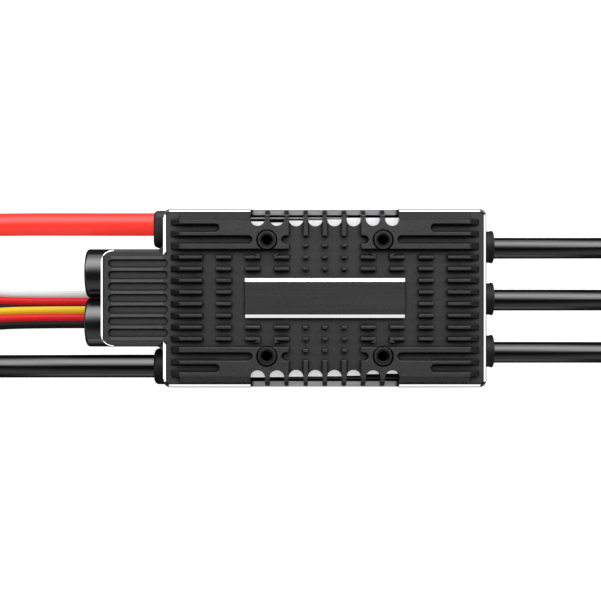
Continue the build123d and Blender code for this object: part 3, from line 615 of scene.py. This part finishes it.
MATS["fan_screw_inserts"] = insert_metal()
MATS["seal_rubber"] = plastic("seal_rubber", (0.02, 0.02, 0.021, 1), (0.028, 0.028, 0.029, 1), 0.7)
MATS["screw_steel"] = metal("screw_black_oxide", (0.06, 0.06, 0.065, 1), (0.09, 0.09, 0.095, 1), 0.4)
MATS["bare_aluminium"] = spreader()
MATS["thermal_pad"] = plastic("thermal_pad", rgb(150, 160, 170), rgb(140, 150, 160), 0.75)
MATS["chip_black"] = plastic("chip_epoxy", (0.015, 0.015, 0.015, 1), (0.022, 0.022, 0.022, 1), 0.55)
MATS["terminal_copper"] = metal("terminal_copper", (0.80, 0.42, 0.26, 1), (0.70, 0.35, 0.22, 1), 0.3)
MATS["tinned_copper"] = metal("tinned_copper", (0.62, 0.62, 0.62, 1), (0.52, 0.52, 0.53, 1), 0.28)
MATS["shunt_metal"] = metal("shunt_metal", (0.45, 0.43, 0.40, 1), (0.38, 0.36, 0.34, 1), 0.4)
MATS["ceramic_tan"] = plastic("ceramic_tan", rgb(172, 140, 100), rgb(160, 128, 92), 0.45)
MATS["inductor_ferrite"] = plastic("inductor_ferrite", (0.05, 0.05, 0.052, 1), (0.065, 0.065, 0.066, 1), 0.6)
MATS["brass_standoff"] = metal("brass_standoff", (0.75, 0.55, 0.22, 1), (0.65, 0.47, 0.20, 1), 0.3)
MATS["connector_black"] = plastic("connector_black", (0.016, 0.016, 0.017, 1), (0.022, 0.022, 0.023, 1), 0.4, grain=5000.0)
MATS["pin_gold"] = metal("pin_gold", (0.90, 0.66, 0.28, 1), (0.82, 0.58, 0.25, 1), 0.22)
MATS["capacitor_sleeve"] = plastic("capacitor_sleeve", (0.002, 0.002, 0.002, 1), (0.003, 0.003, 0.003, 1), 0.22, grain=1500.0, depth=0.00001, strength=0.05, spread=0.04, Specular__IOR__Level=0.86)


def boot_rubber():
    """Moulded rubber. The two supply boots are painted darker towards -Y, in colour and gloss, as painted shade where
    they turn away from the softbox.
    """
    mat = plastic("boot_rubber", (0.009, 0.009, 0.009, 1), (0.014, 0.014, 0.014, 1), 0.55, grain=4000.0, depth=0.00004, strength=0.3)
    n = Nodes.of(mat)
    x, y, z = n.split(n.coords())
    up = n.math("GREATER_THAN", y, 0.0)
    # painted shade: colour and gloss fall towards -Y across each supply boot
    foot = n.math("SUBTRACT", n.math("MULTIPLY", up, 0.0350), 0.0222)
    along = n.smooth(n.math("SUBTRACT", y, foot), 0.0, 0.0075)
    along = n.math("MAXIMUM", along, n.math("GREATER_THAN", x, 0.0))
    factor = n.math("ADD", 0.25, n.math("MULTIPLY", along, 0.75))
    factor = n.math("SUBTRACT", factor, n.math("MULTIPLY", n.math("GREATER_THAN", x, 0.0), 0.25))
    colour = n.bsdf.inputs["Base Color"].links[0].from_socket
    n.put(n.bsdf.inputs["Base Color"], shade(n, colour, factor))
    n.put(n.bsdf.inputs["Specular IOR Level"], n.math("MULTIPLY", 0.31, factor))
    return mat


MATS["boot_rubber"] = boot_rubber()
MATS["tie_black"] = plastic("tie_nylon", (0.018, 0.018, 0.019, 1), (0.025, 0.025, 0.026, 1), 0.42)


def board(name):
    n = Nodes(name)
    at = n.coords()
    weave = n.tree.nodes.new("ShaderNodeTexWave")
    weave.inputs["Scale"].default_value = 400.0
    n.put(weave.inputs["Vector"], at)
    tracks = n.tree.nodes.new("ShaderNodeTexVoronoi")
    tracks.distance = "MANHATTAN"
    tracks.inputs["Scale"].default_value = 260.0
    n.put(tracks.inputs["Vector"], at)
    track = n.between(tracks.outputs["Distance"], 0.25, 0.4)
    n.set(
        Base__Color=n.mix(n.math("MULTIPLY", track, 0.6), rgb(18, 60, 44), rgb(30, 92, 62)),
        Roughness=n.ramp(weave.outputs["Fac"], 0.0, 1.0, 0.3, 0.4),
        Normal=n.bump(track, 0.3, 0.00004),
    )
    return n.mat


MATS["circuit_board"] = board("circuit_board")


def silicone(name, colour, other, rough, spread=0.02):
    """Smooth extruded silicone jacket: faint waves along it, dust-fine grain."""
    n = Nodes(name)
    at = n.coords()
    waves = n.noise(n.scaled(at, (60.0, 400.0, 400.0)), 1.0, 2.0)
    fine = n.noise(at, 2500.0, 2.0)
    n.set(
        Base__Color=n.mix(n.ramp(waves, 0.3, 0.7), colour, other),
        Roughness=n.ramp(fine, 0.3, 0.7, rough - spread, rough + spread),
        Normal=n.bump(waves, 0.06, 0.00005),
    )
    return n.mat


MATS["red_silicone"] = silicone("red_silicone", (0.36, 0.015, 0.011, 1), (0.33, 0.013, 0.010, 1), 0.32, spread=0.008)
red = MATS["red_silicone"].node_tree.nodes["Principled BSDF"]
red.inputs["Specular IOR Level"].default_value = 0.32
# painted light: the jacket glows in its own red, which keeps its shaded side from going dark
red.inputs["Emission Color"].default_value = (0.62, 0.029, 0.021, 1.0)
red.inputs["Emission Strength"].default_value = 1.0
MATS["black_silicone"] = silicone("black_silicone", (0.0005, 0.0005, 0.0005, 1), (0.0009, 0.0009, 0.0009, 1), 0.19)
MATS["black_silicone"].node_tree.nodes["Principled BSDF"].inputs["Specular IOR Level"].default_value = 0.75


def jacket_with_painted_band():
    """The negative cable's jacket: black silicone, with a painted reflection: a soft glowing band along its +Y shoulder
    next to the hood, which stands between it and the softbox there; the jacket's own gloss is turned down on that
    shoulder."""
    mat = silicone("black_silicone_by_hood", (0.0005, 0.0005, 0.0005, 1), (0.0009, 0.0009, 0.0009, 1), 0.19)
    n = Nodes.of(mat)
    x = n.split(n.coords())[0]
    geo = n.tree.nodes.new("ShaderNodeNewGeometry")
    ny, nz = n.split(geo.outputs["Normal"])[1:3]
    near = n.smooth(x, -0.074, -0.062)
    near = n.math("MULTIPLY", near, n.math("GREATER_THAN", nz, 0.0))
    band = n.math("MULTIPLY", n.smooth(ny, 0.02, 0.42), n.math("SUBTRACT", 1.0, n.smooth(ny, 0.46, 0.80)))
    n.put(n.bsdf.inputs["Specular IOR Level"], n.math("MULTIPLY", 0.75, n.math("SUBTRACT", 1.0, n.math("MULTIPLY", near, n.math("GREATER_THAN", ny, 0.0)))))
    n.put(n.bsdf.inputs["Emission Color"], (1.0, 1.0, 1.0, 1.0))
    # painted reflection: the glowing band stands in for the softbox's blocked reflection
    n.put(n.bsdf.inputs["Emission Strength"], n.math("MULTIPLY", n.math("MULTIPLY", near, band), 0.34))
    return mat


MATS["black_silicone_by_hood"] = jacket_with_painted_band()


def lead(name, first):
    """Three cores side by side, coloured across the lead by the U of its map."""
    n = Nodes(name)
    uv = n.add("ShaderNodeUVMap", _uv_map="across").outputs[0]
    u, v, _ = n.split(uv)
    at = n.coords()
    colour = n.mix(n.math("GREATER_THAN", u, 1 / 3), (0.004, 0.004, 0.004, 1), (0.40, 0.008, 0.011, 1))
    colour = n.mix(n.math("GREATER_THAN", u, 2 / 3), colour, first)
    shade = n.noise(at, 500.0, 3.0)
    n.set(
        Base__Color=n.mix(n.ramp(shade, 0.2, 0.8, 0.0, 0.08), colour, (0.02, 0.02, 0.02, 1)),
        Roughness=n.ramp(n.noise(at, 2500.0, 2.0), 0.3, 0.7, 0.36, 0.42),
        Normal=n.bump(n.noise(at, 1200.0, 2.0), 0.08, 0.00003),
        Specular__IOR__Level=n.math("ADD", 0.06, n.math("MULTIPLY", n.math("GREATER_THAN", u, 1 / 3), 0.08)),
        # painted light: each core glows a little in its own colour
        Emission__Color=colour,
        Emission__Strength=0.3,
    )
    return n.mat


MATS["throttle_lead"] = lead("throttle_lead", (0.42, 0.42, 0.425, 1))
MATS["program_lead"] = lead("program_lead", (0.47, 0.28, 0.011, 1))

# ---- assign to the CAD nodes ----------------------------------------------------------------
for name, obj in nodes.items():
    for slot in obj.material_slots:
        key = slot.material.name.split(".")[0] if slot.material else None
        if key in MATS:
            slot.material = MATS[key]
        else:
            print("no material for", name, key)

# ---- cords ----------------------------------------------------------------------------------


def stranded_end(node, points, r, length, strands=14):
    """Twisted strands drawn together by solder, with a rounded tip."""
    a, b = Vector(points[-2]), Vector(points[-1])
    t = (b - a).normalized()
    s = (Vector((0, 1, 0)) - t * t.y).normalized()
    up = t.cross(s)
    # the jacket's own end direction is that of the last stretch of its line
    rings = 40
    per = strands * 8
    verts, faces = [], []
    for i in range(rings + 1):
        f = i / rings
        tip = max(0.0, (f - 0.9) / 0.1)
        k = math.sqrt(max(0.0, 1 - tip * tip)) if tip else 1.0
        k = max(k, 0.25)
        along = -0.0015 + (length + 0.0015) * f
        sag = 1.0 - 0.04 * math.sin(f * math.pi)
        for j in range(per):
            ang = 2 * math.pi * j / per
            twist = f * 1.1
            lobe = abs(math.cos(strands / 2 * (ang - twist)))
            solder = 0.5 + 0.5 * f
            rr = r * sag * k * (0.93 + 0.07 * (lobe ** 0.6) * (1.15 - 0.5 * solder))
            verts.append(b + t * along + s * (rr * math.cos(ang)) + up * (rr * math.sin(ang)))
    for i in range(rings):
        for j in range(per):
            faces.append([i * per + j, i * per + (j + 1) % per, (i + 1) * per + (j + 1) % per, (i + 1) * per + j])
    faces.append([rings * per + j for j in range(per)])
    faces.append(list(range(per))[::-1])
    obj = mesh_object(node + "_strands", verts, faces)
    obj.data.materials.append(MATS["tinned_copper"])
    obj.data.update()
    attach(obj, "root")
    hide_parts(node)
    return obj


def round_cable(node, points, r, mat):
    cable = spline_curve(node + "_jacket", points, r)
    cable.data.materials.append(MATS[mat])
    cable.visible_glossy = False
    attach(cable, "root")
    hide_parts(node)
    line = line_of(points)
    end = stranded_end(node.replace("phase_cable_", "phase_").replace("_cable", "") + "_tinned_end", points, 0.00172, 0.007 if r > 0.0028 else 0.006)
    return cable


round_cable("positive_cable", ROUTE_POSITIVE, SUPPLY_R, "red_silicone")
round_cable("negative_cable", ROUTE_NEGATIVE, SUPPLY_R, "black_silicone_by_hood")
for name, points in ROUTE_PHASES.items():
    round_cable(name, points, PHASE_R, "black_silicone")


def flat_lead(kind, route, y, mat):
    points = route + [(x, y, z) for x, z in HANK]
    line = line_of(points, 14)
    rings, faces, us = [], [], []
    core = LEAD_W / 6
    section = []
    steps = 10
    # outline: over the top from +side to -side, then back underneath
    for c in (1, 0, -1):
        for k in range(steps + 1):
            a = math.pi * k / steps
            s = c * 2 * core + core * math.cos(a)
            h = LEAD_T / 2 * math.sin(a) ** 0.9 if 0 < k < steps else 0.0
            if k in (0, steps):
                h = 0.35 * LEAD_T / 2
                if (c == 1 and k == 0) or (c == -1 and k == steps):
                    h = 0.0
            else:
                inner = (c != 1 or a > math.pi / 2) and (c != -1 or a < math.pi / 2)
                if inner:
                    h = max(h, 0.35 * LEAD_T / 2)
            if section and k == 0:
                continue
            section.append((s, h, (s / LEAD_W) + 0.5))
    outline = section + [(s, -h, u) for s, h, u in section[-2:0:-1]]
    verts, uvs = [], []
    frames = frames_along(line)
    for p, t, s, up in frames:
        for a, b, u in outline:
            # up is t x s; the lead's own up is the other way while it runs to -X
            verts.append(p + s * a + up * b)
    m = len(outline)
    for i in range(len(frames) - 1):
        for j in range(m):
            faces.append([i * m + j, i * m + (j + 1) % m, (i + 1) * m + (j + 1) % m, (i + 1) * m + j])
    faces.append(list(range(m)))
    faces.append([(len(frames) - 1) * m + j for j in range(m)][::-1])
    obj = mesh_object(kind + "_lead_cores", verts, faces)
    uv = obj.data.uv_layers.new(name="across")
    for poly in obj.data.polygons:
        mid = sum(outline[v % m][2] for v in poly.vertices) / len(poly.vertices)
        for li, v in zip(poly.loop_indices, poly.vertices):
            u = outline[v % m][2]
            if len(poly.vertices) == 4:
                # keeps a face on one side of the groove it touches
                band = min(2, max(0, int(mid * 3)))
                u = min(max(u, band / 3 + 0.004), (band + 1) / 3 - 0.004)
            uv.data[li].uv = (u, (v // m) / len(frames))
    bm = bmesh.new()
    bm.from_mesh(obj.data)
    bmesh.ops.recalc_face_normals(bm, faces=bm.faces)
    bm.to_mesh(obj.data)
    bm.free()
    obj.data.materials.append(MATS[mat])
    obj.visible_glossy = False
    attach(obj, "root")
    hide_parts(kind + "_lead", kind + "_lead_hank")
    for piece in (kind + "_connector", kind + "_contacts", kind + "_lead_tie"):
        nodes[piece].visible_glossy = False
    print(kind, "lead length", round(length_of(line), 4))
    return obj


flat_lead("throttle", ROUTE_THROTTLE, 0.00095, "throttle_lead")
flat_lead("program", ROUTE_PROGRAM, -0.0069, "program_lead")



bpy.context.view_layer.update()
